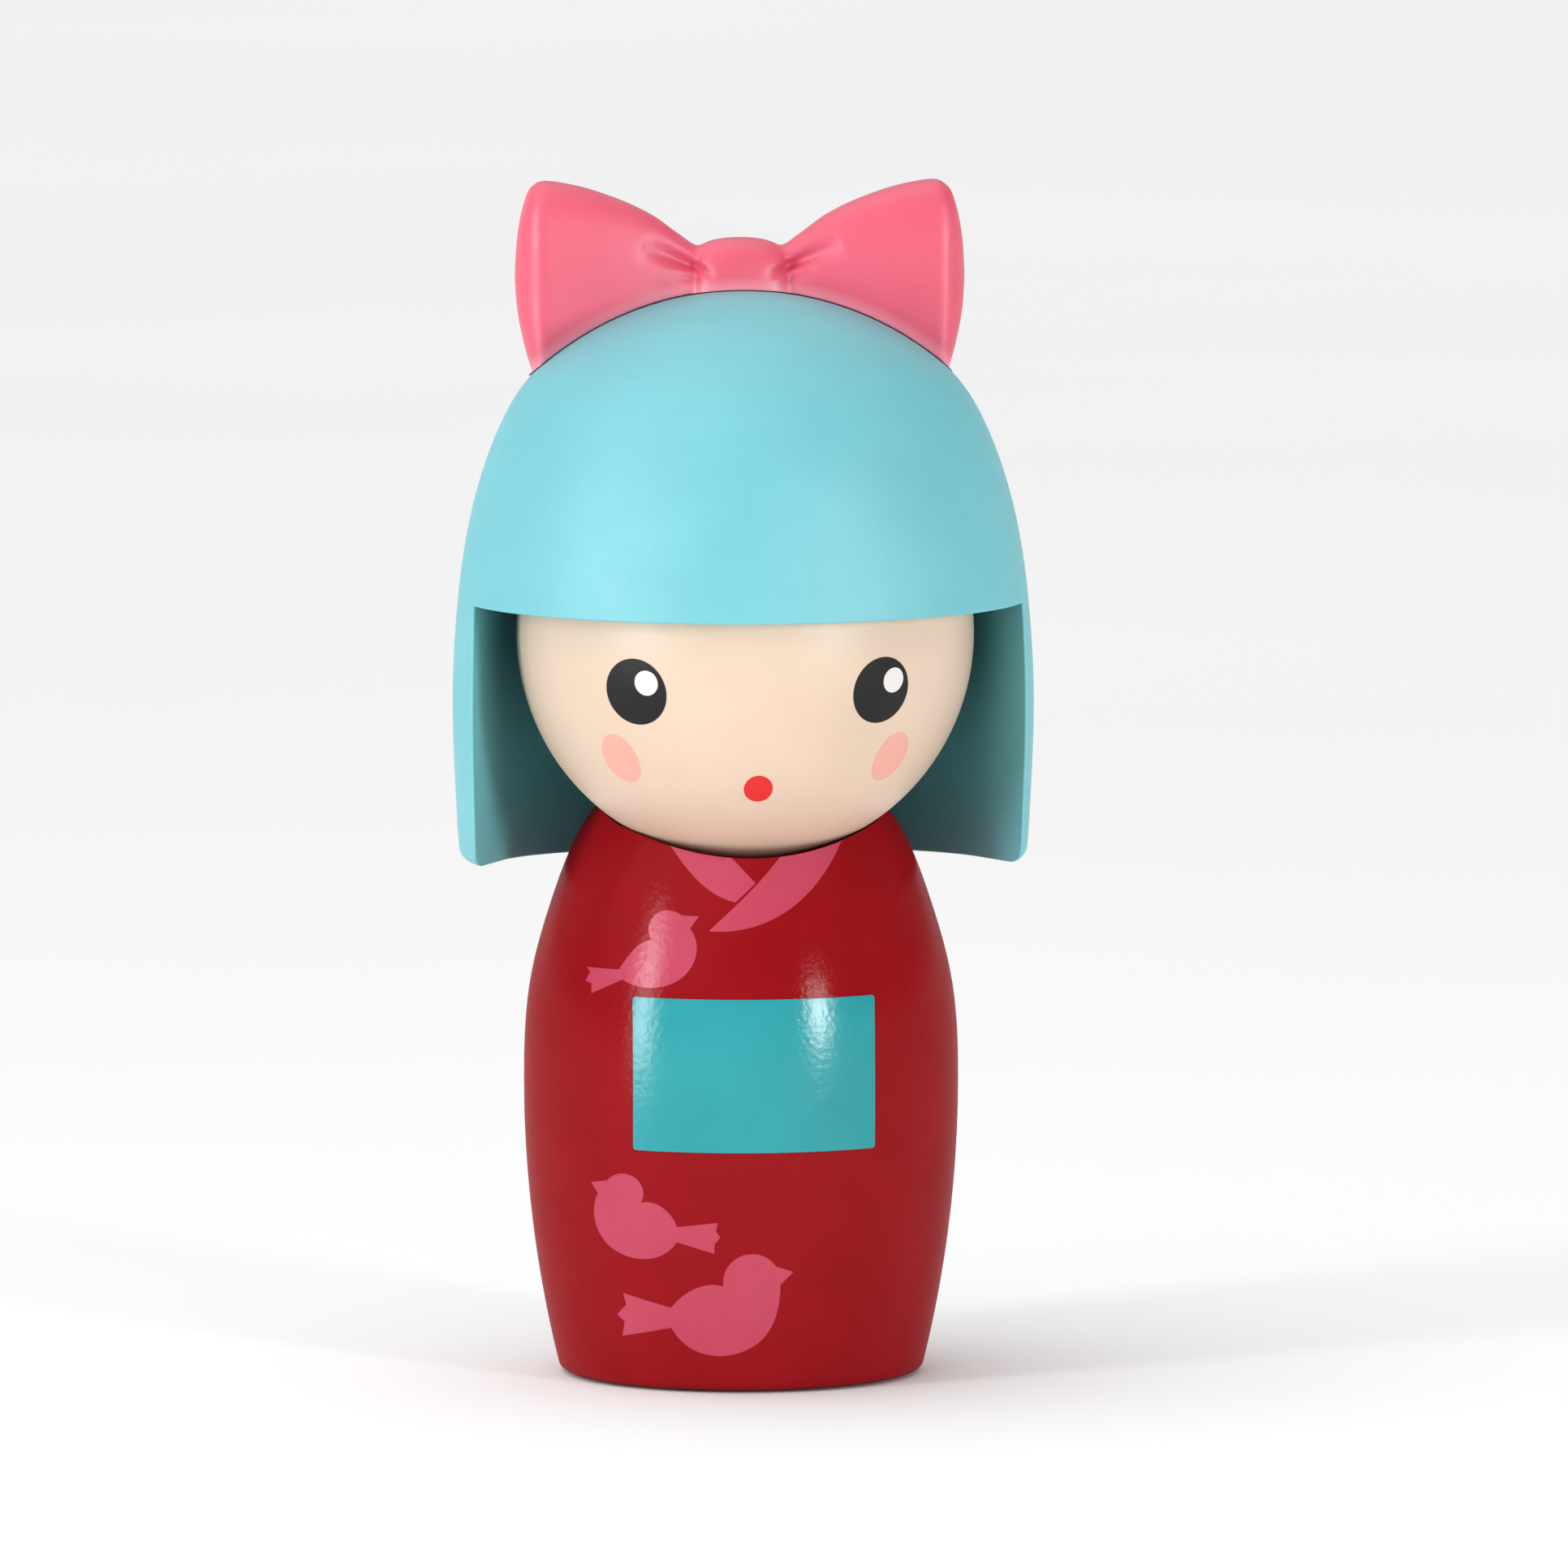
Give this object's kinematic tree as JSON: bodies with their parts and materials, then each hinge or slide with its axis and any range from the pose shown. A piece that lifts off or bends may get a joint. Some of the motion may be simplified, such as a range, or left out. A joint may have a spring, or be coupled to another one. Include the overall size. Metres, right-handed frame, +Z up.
{
  "type": "kokeshi doll",
  "caption": "Round-headed decorative doll with a barrel body, bob hair, a bow and a head that turns on a peg.",
  "frame": {"origin": "centre of the base, on the surface the doll stands on, under the body's own axis", "axes": "+Z up, the face looks along -Y, +X is to the right as a person facing the doll sees it"},
  "size_m": [0.0728, 0.0721, 0.15],
  "materials": {
    "red_lacquer": "turned wood under sprayed gloss red lacquer",
    "skin_paint": "turned wood under satin cream paint",
    "hair": "matte soft turquoise",
    "bow": "matte soft pink",
    "teal_print": "gloss film",
    "pink_print": "gloss film",
    "eye_print": "satin film",
    "glint_print": "satin film",
    "cheek_print": "satin film",
    "mouth_print": "satin film",
    "dowel": "bare beech",
    "liner": "natural nylon",
    "felt": "pressed wool felt"
  },
  "bodies": {
    "body": {"body": "red_lacquer", "base_felt": "felt", "neck_bush": "liner", "neck_washer": "felt", "obi_panel": "teal_print", "collar_left": "pink_print", "collar_right": "pink_print", "bird_upper": "pink_print", "bird_middle": "pink_print", "bird_lower": "pink_print"},
    "head": {"head_ball": "skin_paint", "neck_peg": "dowel", "crown_dowel": "dowel", "hair_shell": "hair", "bow": "bow", "bow_pins": "dowel", "eye_left": "eye_print", "eye_right": "eye_print", "eye_glint_left": "glint_print", "eye_glint_right": "glint_print", "cheek_left": "cheek_print", "cheek_right": "cheek_print", "mouth": "mouth_print"}
  },
  "joints": [
    {"name": "head_turn", "type": "hinge", "parent": "body", "child": "head", "pos_m": [0, -0.0075, 0.0651], "axis": [0, 0, 1], "continuous": true}
  ]
}
